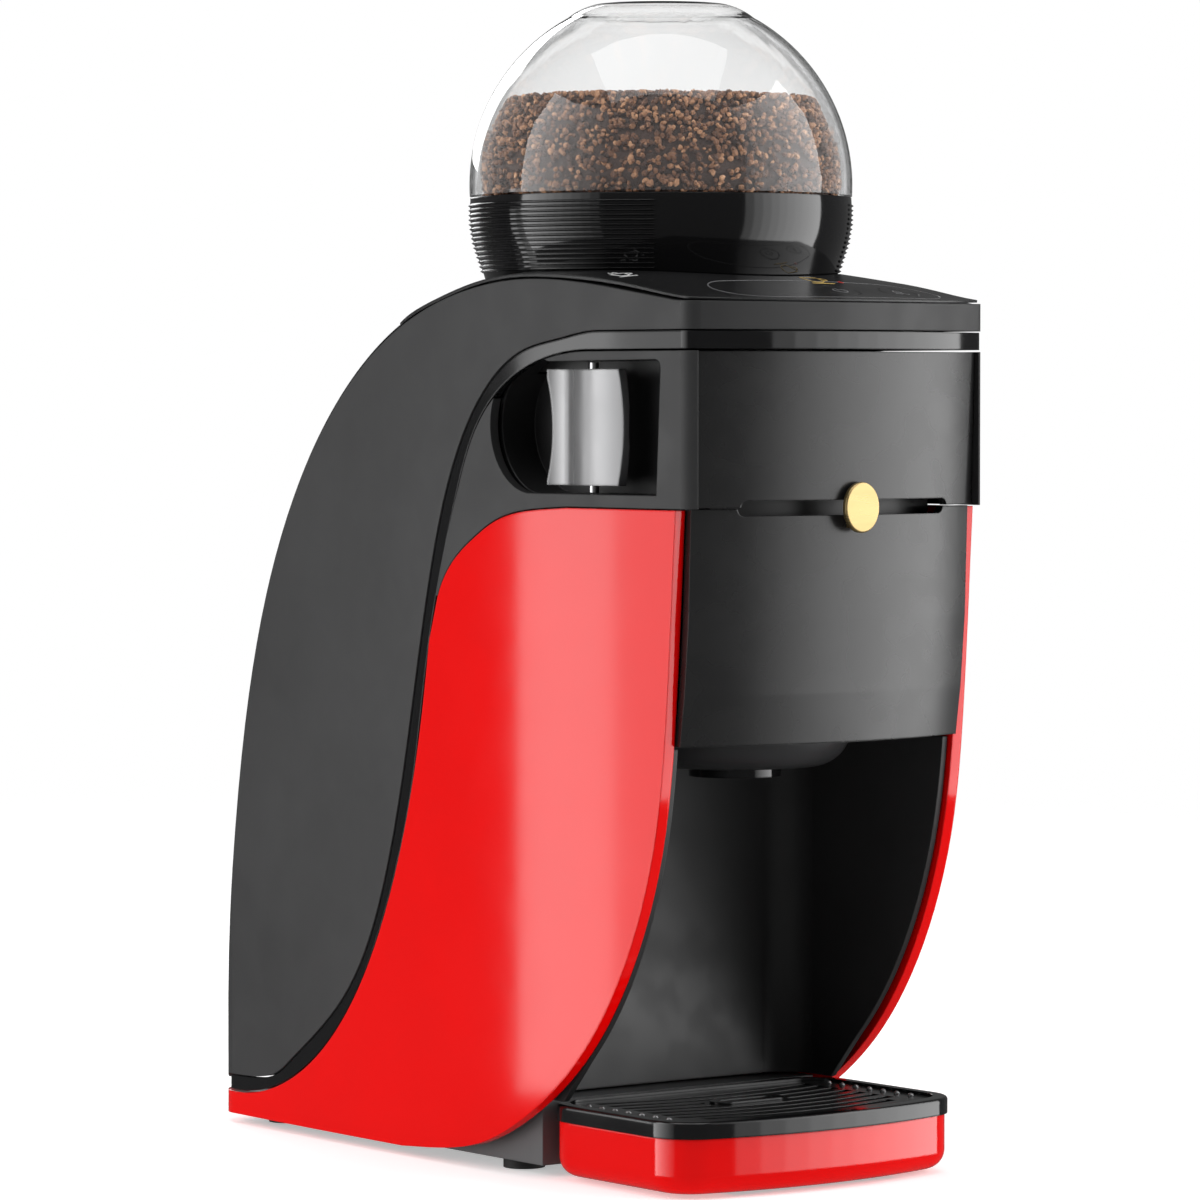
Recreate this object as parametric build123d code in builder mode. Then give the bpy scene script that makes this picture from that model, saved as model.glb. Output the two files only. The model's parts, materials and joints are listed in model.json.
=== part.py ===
from build123d import *
import os

# Countertop coffee machine with a clear granule hopper on top.
# +Z is up, the front faces -Y, and the origin is under the middle of the whole machine.
# All lengths are in millimetres.

# ---- driving dimensions -------------------------------------------------------------
HALF_WIDTH = 58.0          # half width at the front blades
BULGE = 2.4                # how far the sides swell out halfway along
FRONT_Y = -131.0           # middle of the front face
REAR_Y = 131.0             # rear of the base
FRONT_SAG = 11.5           # how far the front bows forward across its width
FRONT_ROUND = 4.6
TURN_X = 54.0              # where the front face starts to turn into the side
TURN_Y = -121.0
REAR_ROUND = 10.0
WALL = 3.0
SEAM = 0.4                 # gap between neighbouring covers
HOPPER_Y = -33.0           # axis of the hopper
BOWL_Y = -70.0             # axis of the mixing bowl
WHISK_Y = -78.0
RED_WALL = 3.8
SEAT_LOW = 246.0
NECK_R = 44.2
DOSE_R = 28.0              # radius of the circle of dosing holes
STRIP_TOP = 258.4          # upper edge of the gloss strip at the front
BAND_TOP = 266.4           # upper edge of the front band
STRIP_LOW = 252.5          # lower edge of the gloss strip at the front
COVER_TOP = 252.0
SPLIT_Z = 205.5            # joint between the two front covers
COVER_LOW = 135.0
COVER_HALF = 54.2
COVER_WALL = 3.0
BAY_TOP = 134.0
DECK_CROWN = 5.0
DECK_EDGE = 1.2
DOME_CENTRE_Z = 300.5
DOME_R = 59.5
TOP_Z = 360.0
DOME_WALL = 2.2
RIM_Z = 300.7
TANK_HALF = 45.4
TANK_FRONT = 58.0
TANK_LOW = 20.8
TANK_TOP = 205.0
TANK_WALL = 2.4
HATCH_LOW = 174.0
HATCH_TOP = 200.0
HATCH_HALF = 36.0
TRAY_LOW = 1.0
TRAY_SPLIT = 18.2
TRAY_TOP = 23.3
TRAY_HALF = 56.0
TRAY_REAR = -44.0
TRAY_FRONT = -120.0
TRAY_ROUND = 15.0
PIN_R = 1.5
RUN = 0.05                 # running clearance of a pin in its hole
CASE_H = 300.0             # taller than any outline that is cut from it

LEVER_PIN = (-53.2, -68.5)
KEY_PLACES = {"power_key": (11.0, -107.0), "rinse_key": (34.0, -107.0)}

# ---- side outlines, as (y, z) -------------------------------------------------------
OUTER_EDGE = [(128.6, 14.0), (125.8, 40), (115.4, 119.5), (100.6, 172), (74.6, 218),
              (27.4, 257.8), (-17, 272.0), (-40, 274.2), (-67.8, 273), (-113.9, 266.9)]
SPINE_EDGE = [(124.6, 18.0), (122.6, 50), (115.4, 119.5), (100.6, 172), (74.6, 218),
              (27.4, 257.8), (-17, 272.0), (-40, 274.2), (-67.8, 273), (-113.9, 266.9)]
STRIP_OUTER = [(-77.6, STRIP_TOP), (-59.6, 256.2), (-41, 252.6), (-25.1, 243.5), (-6.3, 218.9),
               (5.4, 187.6), (17.3, 137.2), (31.6, 86), (56, 45.9), (86.1, 23.8), (125, 15.9)]
STRIP_INNER = [(-71.2, STRIP_LOW), (-52.9, 250.4), (-34.1, 243.5), (-19.1, 231.3), (-6.5, 206.5),
               (7.3, 162.7), (17.9, 112.1), (26.9, 86.4), (49.9, 46.5), (73.5, 25), (103.8, 12.3), (125, 10.8)]
RED_TOP = [(2.3, 176.4), (-6.5, 188.2), (-17, 195.2), (-27.9, 200.5), (-46.1, 204), (-63, 205)]
BLADE = [(-114.1, 205), (-112.4, 178), (-109.9, 143), (-104.9, 107), (-91.6, 70.3), (-68.2, 38),
         (-39.4, 16.9), (-21.3, 8.8), (5, 4.2), (22, 3)]


def moved(points, dy, dz):
    return [(y + dy, z + dz) for y, z in points]


# ---- the outline seen from above ----------------------------------------------------
def outline(inset):
    side_x = HALF_WIDTH - inset
    with BuildSketch() as plan:
        with BuildLine():
            front = TangentArc((0, FRONT_Y + inset), (TURN_X, TURN_Y + inset), tangent=(1, 0))
            corner = TangentArc(front @ 1, (side_x, TURN_Y + FRONT_ROUND), tangent=front % 1)
            side = ThreePointArc(corner @ 1, (side_x + BULGE, 0), (side_x, REAR_Y - REAR_ROUND))
            rear_corner = TangentArc(side @ 1, (side_x - REAR_ROUND, REAR_Y - inset), tangent=side % 1)
            Line(rear_corner @ 1, (0, REAR_Y - inset))
            mirror(about=Plane.YZ)
        make_face()
    return plan.sketch


def ring_wall(inset, wall):
    """A standing wall that follows the outline, wall thick."""
    with BuildPart() as ring:
        with BuildSketch():
            add(outline(inset))
            add(outline(inset + wall), mode=Mode.SUBTRACT)
        extrude(amount=CASE_H)
    return ring.part


def side_cut(ring, region, x_from, x_to):
    """The stretch of a ring wall inside a side outline, between two x planes."""
    with BuildPart() as piece:
        add(ring)
        with BuildSketch(Plane.YZ.offset(x_from)):
            add(region)
        extrude(amount=x_to - x_from, mode=Mode.INTERSECT)
    return piece.part


with BuildSketch() as arch_region:
    with BuildLine():
        Line((-140, STRIP_TOP), STRIP_OUTER[0])
        Spline(*STRIP_OUTER, tangents=[(1, 0), (1, 0)])
        Line(STRIP_OUTER[-1], OUTER_EDGE[0])
        Spline(*OUTER_EDGE)
        Polyline(OUTER_EDGE[-1], (-140, BAND_TOP), (-140, STRIP_TOP))
    make_face()

with BuildSketch() as core_region:
    core_edge = moved(OUTER_EDGE, -2.6, -2.8)
    with BuildLine():
        Spline(*core_edge)
        Polyline(core_edge[-1], (-140, BAND_TOP - WALL), (-140, -10), (core_edge[0][0], -10), core_edge[0])
    make_face()

with BuildSketch() as strip_region:
    with BuildLine():
        Line((-140, STRIP_TOP - SEAM), (STRIP_OUTER[0][0], STRIP_TOP - SEAM))
        outer = moved(STRIP_OUTER, 0, -SEAM)
        Spline(*outer, tangents=[(1, 0), (1, 0)])
        Line(outer[-1], (STRIP_INNER[-1][0], STRIP_INNER[-1][1] + SEAM))
        inner = moved(STRIP_INNER, 0, SEAM / 2)
        Polyline((STRIP_INNER[-1][0], STRIP_INNER[-1][1] + SEAM), inner[-1])
        Spline(*inner[::-1])
        Polyline(inner[0], (-140, inner[0][1]), (-140, STRIP_TOP - SEAM))
    make_face()

with BuildSketch() as frame_region:
    upper = moved(STRIP_INNER[:5] + [(0.6, 187.8), (3.9, 177.0)], -SEAM, -SEAM)
    low = moved(RED_TOP, 0, SEAM)
    with BuildLine():
        Line((-140, upper[0][1]), upper[0])
        Spline(*upper)
        Line(upper[-1], low[0])
        Spline(*low)
        Polyline(low[-1], (-140, low[-1][1]), (-140, upper[0][1]))
    make_face()

with BuildSketch() as red_region:
    shade = moved(STRIP_INNER[5:], -SEAM, -SEAM)
    with BuildLine():
        Spline(*RED_TOP)
        Line(RED_TOP[-1], BLADE[0])
        Spline(*BLADE)
        Polyline(BLADE[-1], (REAR_Y - 3, 3), (REAR_Y + 2, 6), (REAR_Y + 2, 10.4), shade[-1])
        Spline(*shade[::-1])
        Line(shade[0], RED_TOP[0])
    make_face()

# ---- casing: the grey arch with the front band --------------------------------------
with BuildPart() as casing_core:
    with BuildSketch(Plane.YZ.offset(-70)):
        add(core_region.sketch)
    extrude(amount=140)
    with BuildSketch():
        add(outline(WALL))
    extrude(amount=CASE_H, mode=Mode.INTERSECT)

with BuildPart() as casing:
    with BuildSketch(Plane.YZ.offset(-70)):
        add(arch_region.sketch)
    extrude(amount=140)
    with BuildSketch():
        add(outline(0))
    extrude(amount=CASE_H, mode=Mode.INTERSECT)
    add(casing_core.part, mode=Mode.SUBTRACT)
    with BuildSketch(Plane.XZ.offset(-60)):
        with Locations((0, 113.5)):
            Rectangle(2 * (TANK_HALF + 0.6), 187)
    extrude(amount=-100, mode=Mode.SUBTRACT)
    with BuildSketch(Plane.XY.offset(240)):
        with Locations((0, HOPPER_Y)):
            Circle(55.9)
        with Locations(*KEY_PLACES.values()):
            Circle(7.5)
    extrude(amount=60, mode=Mode.SUBTRACT)
casing.part.label = "casing"

# ---- crown: the black slab over the top and down the back ---------------------------
with BuildPart() as crown:
    with BuildLine(Plane.YZ) as spine_path:
        run_down = Spline(*SPINE_EDGE)
        Line(SPINE_EDGE[-1], (-136, 263.9))
    with BuildSketch(Plane(origin=run_down @ 0, x_dir=(1, 0, 0), z_dir=run_down % 0)):
        with BuildLine():
            ThreePointArc((-HALF_WIDTH - 2, DECK_EDGE), (0, DECK_EDGE + DECK_CROWN), (HALF_WIDTH + 2, DECK_EDGE))
            Polyline((HALF_WIDTH + 2, DECK_EDGE), (HALF_WIDTH + 2, 0.3), (-HALF_WIDTH - 2, 0.3),
                     (-HALF_WIDTH - 2, DECK_EDGE))
        make_face()
    sweep(transition=Transition.ROUND)


# ---- deck, rear cover, gloss strip --------------------------------------------------
def crown_piece(y_from, y_to, z_from, z_to, half):
    """The stretch of the crown slab inside the outline and a box."""
    with BuildPart() as piece:
        add(crown.part)
        with BuildSketch():
            add(outline(1.2))
        extrude(amount=CASE_H, mode=Mode.INTERSECT)
        with BuildSketch(Plane.XY.offset(z_from)):
            with Locations((0, (y_from + y_to) / 2)):
                Rectangle(2 * half, y_to - y_from)
        extrude(amount=z_to - z_from, mode=Mode.INTERSECT)
    return piece.part


DECK_REAR = 24.0
DECK_LIFT = 0.6
# the deck is flat along its front edge and swells to the full crown behind it: (y, edge z, crown)
DECK_LEVELS = [
    (-136, BAND_TOP, 0.2), (-118, 266.7, 0.5), (-100, 269.2, 1.9),
    (-78, 272.2, 3.9), (-56, 273.9, DECK_CROWN), (-36, 274.2, DECK_CROWN),
    (-14, 271.7, DECK_CROWN), (6, 266.8, DECK_CROWN), (26, 258.5, DECK_CROWN),
]
with BuildPart() as deck_form:
    for (y, edge_z, crown_here) in DECK_LEVELS:
        with BuildSketch(Plane.XZ.offset(-y)):
            low = edge_z + DECK_LIFT
            high = edge_z + DECK_EDGE
            with BuildLine():
                ThreePointArc((-HALF_WIDTH - 4, high), (0, high + crown_here), (HALF_WIDTH + 4, high))
                Polyline((HALF_WIDTH + 4, high), (HALF_WIDTH + 4, low), (-HALF_WIDTH - 4, low), (-HALF_WIDTH - 4, high))
            make_face()
    loft()

with BuildPart() as deck:
    add(deck_form.part)
    with BuildSketch():
        add(outline(1.2))
    extrude(amount=CASE_H, mode=Mode.INTERSECT)
    with BuildSketch(Plane.XY.offset(240)):
        with Locations((0, DECK_REAR - 100)):
            Rectangle(160, 200)
    extrude(amount=60, mode=Mode.INTERSECT)
    with BuildSketch(Plane.XY.offset(240)):
        with Locations((0, HOPPER_Y)):
            Circle(55.7)
        with Locations(*KEY_PLACES.values()):
            Circle(6.3)
    extrude(amount=60, mode=Mode.SUBTRACT)
deck.part.label = "deck"

with BuildPart() as rear_cover:
    add(crown_piece(DECK_REAR + SEAM, 140, TANK_TOP + 1.2, CASE_H, 70))
rear_cover.part.label = "rear_cover"

with BuildPart() as gloss_strip:
    add(side_cut(ring_wall(0.4, 2.4), strip_region.sketch, -70, 70))
    with BuildSketch():
        with Locations((0, REAR_Y)):
            Rectangle(2 * HALF_WIDTH + 8, 16)
    extrude(amount=CASE_H, mode=Mode.SUBTRACT)
gloss_strip.part.label = "gloss_strip"

# ---- side frames ahead of the strip -------------------------------------------------
RECESS_FRONT = -107.5
with BuildSketch() as recess_region:
    with BuildLine():
        Line((RECESS_FRONT, 249.6), (-54, 249.2))
        ThreePointArc((-54, 249.2), (-25.6, 226.0), (-44, 209.2))
        Line((-44, 209.2), (RECESS_FRONT + 2, 209.2))
        Line((RECESS_FRONT + 2, 209.2), (RECESS_FRONT, 249.6))
    make_face()
    fillet(recess_region.vertices().group_by(Axis.X)[0], 2.5)

with BuildPart() as left_frame:
    add(side_cut(ring_wall(0, WALL), frame_region.sketch, -70, -COVER_HALF - SEAM))
    with BuildSketch(Plane.YZ.offset(-65)):
        add(recess_region.sketch)
    extrude(amount=15, mode=Mode.SUBTRACT)
left_frame.part.label = "left_frame"

with BuildPart() as right_frame:
    add(side_cut(ring_wall(0, WALL), frame_region.sketch, COVER_HALF + SEAM, 70))
right_frame.part.label = "right_frame"

POCKET_WALL = 1.6
with BuildPart() as lever_pocket:
    with BuildSketch(Plane.YZ.offset(-HALF_WIDTH + 2.4)):
        add(recess_region.sketch)
        offset(amount=POCKET_WALL)
    extrude(amount=14)
    with BuildSketch(Plane.YZ.offset(-HALF_WIDTH + 1.8)):
        add(recess_region.sketch)
    extrude(amount=13, mode=Mode.SUBTRACT)
    with BuildSketch():
        add(outline(WALL + 0.2))
    extrude(amount=CASE_H, mode=Mode.INTERSECT)
    with BuildSketch(Plane.XY.offset(SEAT_LOW - 0.5)):
        with Locations((0, HOPPER_Y)):
            Circle(NECK_R + 3.2)
    extrude(amount=10, mode=Mode.SUBTRACT)
lever_pocket.part.label = "lever_pocket"

with BuildPart() as lever_pin:
    with BuildSketch(Plane.XY.offset(209.6)):
        with Locations(LEVER_PIN):
            Circle(PIN_R)
    extrude(amount=39.2)
lever_pin.part.label = "lever_pin"

with BuildPart() as thumb_lever:
    with BuildSketch(Plane.XY.offset(211.8)):
        with BuildLine():
            ThreePointArc((-59.0, -52.5), (-56.9, -58), (-57.3, -64))
            ThreePointArc((-57.3, -64), (-57.1, -75), (-54.2, -85))
            Polyline((-54.2, -85), (-52.0, -84.4), (-52.8, -73.2))
            ThreePointArc((-52.8, -73.2), (-49.6, -68.5), (-52.8, -63.8))
            ThreePointArc((-52.8, -63.8), (-54.2, -58), (-56.4, -51.8))
            Line((-56.4, -51.8), (-59.0, -52.5))
        make_face()
    extrude(amount=35)
    with BuildSketch(Plane.YZ.offset(-65)):
        with BuildLine():
            ThreePointArc((-52.0, 211), (-54.0, 229), (-51.6, 248))
            Line((-51.6, 248), (-82.6, 248))
            ThreePointArc((-82.6, 248), (-84.6, 229), (-82.6, 211))
            Line((-82.6, 211), (-52.0, 211))
        make_face()
    extrude(amount=20, mode=Mode.INTERSECT)
    with BuildSketch(Plane.XY.offset(205)):
        with Locations(LEVER_PIN):
            Circle(PIN_R + RUN)
    extrude(amount=50, mode=Mode.SUBTRACT)
thumb_lever.part.label = "thumb_lever"

# ---- red side shells ----------------------------------------------------------------
GLAND = (-36.0, 6.6)
GLAND_R = 3.0
with BuildPart() as left_red_shell:
    add(side_cut(ring_wall(0, RED_WALL), red_region.sketch, -70, -SEAM / 2))
    with BuildSketch(Plane.XZ.offset(-120)):
        with Locations(GLAND):
            Circle(GLAND_R + 0.1)
    extrude(amount=-20, mode=Mode.SUBTRACT)
left_red_shell.part.label = "left_red_shell"

with BuildPart() as right_red_shell:
    add(side_cut(ring_wall(0, RED_WALL), red_region.sketch, SEAM / 2, 70))
right_red_shell.part.label = "right_red_shell"


# ---- front covers -------------------------------------------------------------------
def bowed_band(z, half, edge_y, wall):
    """Section of a bowed front plate: half width, y of its outer edges, wall."""
    sag = FRONT_SAG * (half / HALF_WIDTH) ** 2
    with BuildSketch(Plane.XY.offset(z)) as band:
        with BuildLine():
            ThreePointArc((-half, edge_y), (0, edge_y - sag), (half, edge_y))
            Line((half, edge_y), (half, edge_y + wall))
            ThreePointArc((half, edge_y + wall), (0, edge_y - sag + wall), (-half, edge_y + wall))
            Line((-half, edge_y + wall), (-half, edge_y))
        make_face()
    return band.sketch


def front_plate(levels, half, wall):
    """A bowed plate through (z, edge y) levels, from the lowest up."""
    with BuildPart() as plate:
        for (z, edge_y) in levels:
            add(bowed_band(z, half, edge_y, wall))
        loft(ruled=True)
    return plate.part


SLOT_LONG = 80.0
SLOT_HIGH = 4.6
UPPER_LEVELS = [(SPLIT_Z + SEAM / 2, -117.9), (COVER_TOP, -119.3)]
LOWER_LEVELS = [(COVER_LOW, -111.2), (150, -113.4), (172, -115.3), (SPLIT_Z - SEAM / 2, -116.4)]


with BuildPart() as slot_tool:
    with BuildSketch(Plane.XZ.offset(100)):
        with Locations((0, SPLIT_Z)):
            SlotOverall(SLOT_LONG, SLOT_HIGH)
    extrude(amount=40)

with BuildPart() as upper_front_cover:
    add(front_plate(UPPER_LEVELS, COVER_HALF, COVER_WALL))
    add(slot_tool.part, mode=Mode.SUBTRACT)
upper_front_cover.part.label = "upper_front_cover"

CLIP_X = 44.0
with BuildPart() as lower_front_cover:
    for i in range(len(LOWER_LEVELS) - 1):
        add(front_plate(LOWER_LEVELS[i:i + 2], COVER_HALF - 0.3, COVER_WALL))
    add(slot_tool.part, mode=Mode.SUBTRACT)
    with BuildSketch(Plane.XZ.offset(102)):
        with Locations((-CLIP_X, 190), (CLIP_X, 190)):
            Rectangle(8, 2.4)
    extrude(amount=14)
    with BuildSketch(Plane.XZ.offset(102)):
        with Locations((-CLIP_X, 148), (CLIP_X, 148)):
            Rectangle(8, 2.4)
    extrude(amount=12)
lower_front_cover.part.label = "lower_front_cover"

with BuildPart() as slot_backing:
    add(front_plate([(SPLIT_Z - 8, -111.0), (SPLIT_Z + 8, -111.0)], 42.5, 2.0))
slot_backing.part.label = "slot_backing"

with BuildPart() as badge:
    with BuildSketch(Plane.XZ.offset(129.4)):
        with Locations((0, SPLIT_Z)):
            Ellipse(6.6, 7.6)
    extrude(amount=1.5)
    fillet(badge.faces().sort_by(Axis.Y)[0].edges(), 0.6)
    with BuildSketch(Plane.XZ.offset(126.0)):
        with Locations((0, SPLIT_Z - 4.6)):
            Rectangle(5, 3)
    extrude(amount=3.6)
    add(lower_front_cover.part, mode=Mode.SUBTRACT)
badge.part.label = "badge"

# ---- cup bay ------------------------------------------------------------------------
BAY_HALF = 53.8
BAY_WALL = 2.0
BAY_REAR = -31.0
with BuildPart() as bay_liner:
    with BuildSketch():
        with BuildLine():
            side = Line((BAY_HALF, -125), (BAY_HALF, BAY_REAR - 14))
            bend = ThreePointArc(side @ 1, (BAY_HALF - 4.4, BAY_REAR - 4.6), (BAY_HALF - 14, BAY_REAR - 1.2))
            back = ThreePointArc(bend @ 1, (0, BAY_REAR), (-BAY_HALF + 14, BAY_REAR - 1.2))
            other_bend = ThreePointArc(back @ 1, (-BAY_HALF + 4.4, BAY_REAR - 4.6), (-BAY_HALF, BAY_REAR - 14))
            Line(other_bend @ 1, (-BAY_HALF, -125))
            Line((-BAY_HALF, -125), (-BAY_HALF + BAY_WALL, -125))
            Line((-BAY_HALF + BAY_WALL, -125), (-BAY_HALF + BAY_WALL, BAY_REAR - 14))
            ThreePointArc((-BAY_HALF + BAY_WALL, BAY_REAR - 14), (-BAY_HALF + 5.9, BAY_REAR - 6),
                          (-BAY_HALF + 14, BAY_REAR - 3.2))
            ThreePointArc((-BAY_HALF + 14, BAY_REAR - 3.2), (0, BAY_REAR - 2), (BAY_HALF - 14, BAY_REAR - 3.2))
            ThreePointArc((BAY_HALF - 14, BAY_REAR - 3.2), (BAY_HALF - 5.9, BAY_REAR - 6),
                          (BAY_HALF - BAY_WALL, BAY_REAR - 14))
            Line((BAY_HALF - BAY_WALL, BAY_REAR - 14), (BAY_HALF - BAY_WALL, -125))
            Line((BAY_HALF - BAY_WALL, -125), (BAY_HALF, -125))
        make_face()
    extrude(amount=BAY_TOP)
    with BuildSketch(Plane.YZ.offset(-60)):
        rim = moved(BLADE, 1.6, 0)
        with BuildLine():
            Spline(*rim[1:6])
            Polyline(rim[5], (-54, 24), (0, 24), (0, BAY_TOP), (-100, BAY_TOP + 60), rim[1])
        make_face()
    extrude(amount=120, mode=Mode.INTERSECT)
bay_liner.part.label = "bay_liner"

with BuildPart() as bay_ceiling:
    with BuildSketch(Plane.XY.offset(BAY_TOP + 0.4)):
        with BuildLine():
            ThreePointArc((-BAY_HALF, -106.0), (0, -116.0), (BAY_HALF, -106.0))
            Polyline((BAY_HALF, -106.0), (BAY_HALF, BAY_REAR), (-BAY_HALF, BAY_REAR), (-BAY_HALF, -106.0))
        make_face()
        with Locations((0, BOWL_Y)):
            Circle(36.6, mode=Mode.SUBTRACT)
    extrude(amount=2.4)
bay_ceiling.part.label = "bay_ceiling"

# ---- mixing bowl, outlet and whisk --------------------------------------------------
with BuildPart() as mixing_bowl:
    with BuildSketch(Plane.XZ):
        with BuildLine():
            Polyline((14.4, 125.6), (22, 125.6))
            ThreePointArc((22, 125.6), (32, 128.6), (35.6, 136))
            Polyline((35.6, 136), (35.6, 152), (33.8, 152), (33.8, 137))
            ThreePointArc((33.8, 137), (30.6, 130.4), (22, 127.6))
            Polyline((22, 127.6), (4, 126.6), (4, 125.6), (14.4, 125.6))
        make_face()
    revolve(axis=Axis.Z)
mixing_bowl.part = mixing_bowl.part.moved(Location((0, BOWL_Y, 0)))
mixing_bowl.part.label = "mixing_bowl"

with BuildPart() as outlet_nozzle:
    with BuildSketch(Plane.XY.offset(122.2)):
        with Locations((0, BOWL_Y)):
            Circle(14.2)
            Circle(3.0, mode=Mode.SUBTRACT)
    extrude(amount=3.4)
outlet_nozzle.part.label = "outlet_nozzle"

with BuildPart() as whisk:
    with BuildSketch(Plane.XY.offset(131)):
        with Locations((0, WHISK_Y)):
            Circle(10)
    extrude(amount=1.6)
    with BuildSketch(Plane.XY.offset(132.6)):
        with Locations((0, WHISK_Y)):
            with PolarLocations(6.5, 6):
                Rectangle(5, 1)
    extrude(amount=4)
    with BuildSketch(Plane.XY.offset(131)):
        with Locations((0, WHISK_Y)):
            Circle(1.8)
    extrude(amount=41)
whisk.part.label = "whisk"

with BuildPart() as whisk_motor:
    with BuildSketch(Plane.XY.offset(173)):
        with Locations((0, WHISK_Y)):
            Circle(13)
    extrude(amount=26)
whisk_motor.part.label = "whisk_motor"

CHUTE_TOP = SEAT_LOW - 0.2
CHUTE_LOW = 154.0


def chute_form(r_top, r_low):
    with BuildPart() as form:
        with BuildSketch(Plane.XY.offset(CHUTE_TOP)):
            with Locations((0, HOPPER_Y - DOSE_R)):
                Circle(r_top)
        with BuildSketch(Plane.XY.offset(CHUTE_LOW)):
            with Locations((0, BOWL_Y + 20)):
                Circle(r_low)
        loft()
    return form.part


with BuildPart() as powder_chute:
    add(chute_form(9.0, 7.6))
    add(chute_form(7.6, 6.2), mode=Mode.SUBTRACT)
powder_chute.part.label = "powder_chute"


# ---- hopper -------------------------------------------------------------------------
def turned(points_in_xz):
    """A solid turned about the hopper's axis from a closed outline of (radius, z)."""
    with BuildPart() as solid:
        with BuildSketch(Plane.XZ):
            with BuildLine():
                Polyline(*points_in_xz, close=True)
            make_face()
        revolve(axis=Axis.Z)
    return solid.part.moved(Location((0, HOPPER_Y, 0)))


with BuildPart() as hopper_seat:
    add(turned([(13, SEAT_LOW), (NECK_R + 2.8, SEAT_LOW), (NECK_R + 2.8, 261), (55.2, 263), (55.2, 266),
                (NECK_R + 0.4, 264), (NECK_R + 0.4, SEAT_LOW + 3), (13, SEAT_LOW + 3)]))
    with BuildSketch(Plane.XY.offset(SEAT_LOW)):
        with Locations((0, HOPPER_Y - DOSE_R)):
            Circle(6.5)
    extrude(amount=4, mode=Mode.SUBTRACT)
hopper_seat.part.label = "hopper_seat"

COLLAR_LOW = 273.0
RIB_COUNT = 15
RIB_STEP = 1.45
RIB_FIRST = 277.4
RIB_OUT = 0.7
COLLAR_OUT = [(54.2, COLLAR_LOW), (56.3, 280), (58.2, 286), (59.2, 292), (59.3, 300.2)]
with BuildPart() as hopper_collar:
    with BuildSketch(Plane.XZ):
        with BuildLine():
            Spline(*COLLAR_OUT)
            Polyline(COLLAR_OUT[-1], (54.8, 300.2), (54.8, 297))
            Spline((54.8, 297), (54.0, 290), (52.2, 280), (49.6, COLLAR_LOW))
            Polyline((49.6, COLLAR_LOW), (NECK_R - 2, 266), (NECK_R - 2, SEAT_LOW + 6), (14, SEAT_LOW + 6),
                     (14, SEAT_LOW + 3.6), (NECK_R, SEAT_LOW + 3.6), (NECK_R, 265), COLLAR_OUT[0])
        make_face()
    revolve(axis=Axis.Z)
    with BuildSketch(Plane.XY.offset(SEAT_LOW)):
        with Locations((0, -DOSE_R)):
            Circle(6.0)
    extrude(amount=7, mode=Mode.SUBTRACT)
hopper_collar.part = hopper_collar.part.moved(Location((0, HOPPER_Y, 0)))
hopper_collar.part.label = "hopper_collar"


def collar_radius(z):
    """Outer radius of the collar at a height, along its outline."""
    for (r_low, z_low), (r_high, z_high) in zip(COLLAR_OUT, COLLAR_OUT[1:]):
        if z_low <= z <= z_high:
            return r_low + (r_high - r_low) * (z - z_low) / (z_high - z_low)
    return COLLAR_OUT[-1][0]


GRIP_SPAN = 100.0          # degrees of each ribbed side, centred on +X and -X
with BuildPart() as grip_ribs:
    for i in range(RIB_COUNT):
        z = RIB_FIRST + i * RIB_STEP
        r = collar_radius(z)
        with BuildSketch(Plane.XZ):
            with BuildLine():
                Polyline((r - 0.9, z - 0.45), (r + 0.1, z - 0.45), (r + RIB_OUT, z), (r + 0.1, z + 0.45),
                         (r - 0.9, z + 0.45), close=True)
            make_face()
        revolve(axis=Axis.Z)
    with BuildSketch(Plane.XY.offset(COLLAR_LOW)):
        with BuildLine():
            reach = 80.0
            Polyline((0, 0), (reach, reach * 1.19), (reach, -reach * 1.19), (0, 0))
        make_face()
        with BuildLine():
            Polyline((0, 0), (-reach, reach * 1.19), (-reach, -reach * 1.19), (0, 0))
        make_face()
    extrude(amount=40, mode=Mode.INTERSECT)
grip_ribs.part = grip_ribs.part.moved(Location((0, HOPPER_Y, 0))) - hopper_collar.part
grip_ribs.part.label = "grip_ribs"

DOME_FLAT = 21.0
with BuildPart() as clear_dome:
    with BuildSketch(Plane.XZ):
        with BuildLine():
            ThreePointArc((DOME_R, RIM_Z), (52.6, 332.0), (DOME_FLAT + 8, 356.0))
            ThreePointArc((DOME_FLAT + 8, 356.0), (DOME_FLAT + 4.5, 358.3), (DOME_FLAT, TOP_Z))
            Polyline((DOME_FLAT, TOP_Z), (0, TOP_Z), (0, TOP_Z - DOME_WALL), (DOME_FLAT, TOP_Z - DOME_WALL))
            ThreePointArc((DOME_FLAT, TOP_Z - DOME_WALL), (DOME_FLAT + 3.6, 355.8), (DOME_FLAT + 6.8, 353.9))
            ThreePointArc((DOME_FLAT + 6.8, 353.9), (50.6, 331.0), (DOME_R - DOME_WALL, RIM_Z))
            Line((DOME_R - DOME_WALL, RIM_Z), (DOME_R, RIM_Z))
        make_face()
    revolve(axis=Axis.Z)
clear_dome.part = clear_dome.part.moved(Location((0, HOPPER_Y, 0)))
clear_dome.part.label = "clear_dome"

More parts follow.
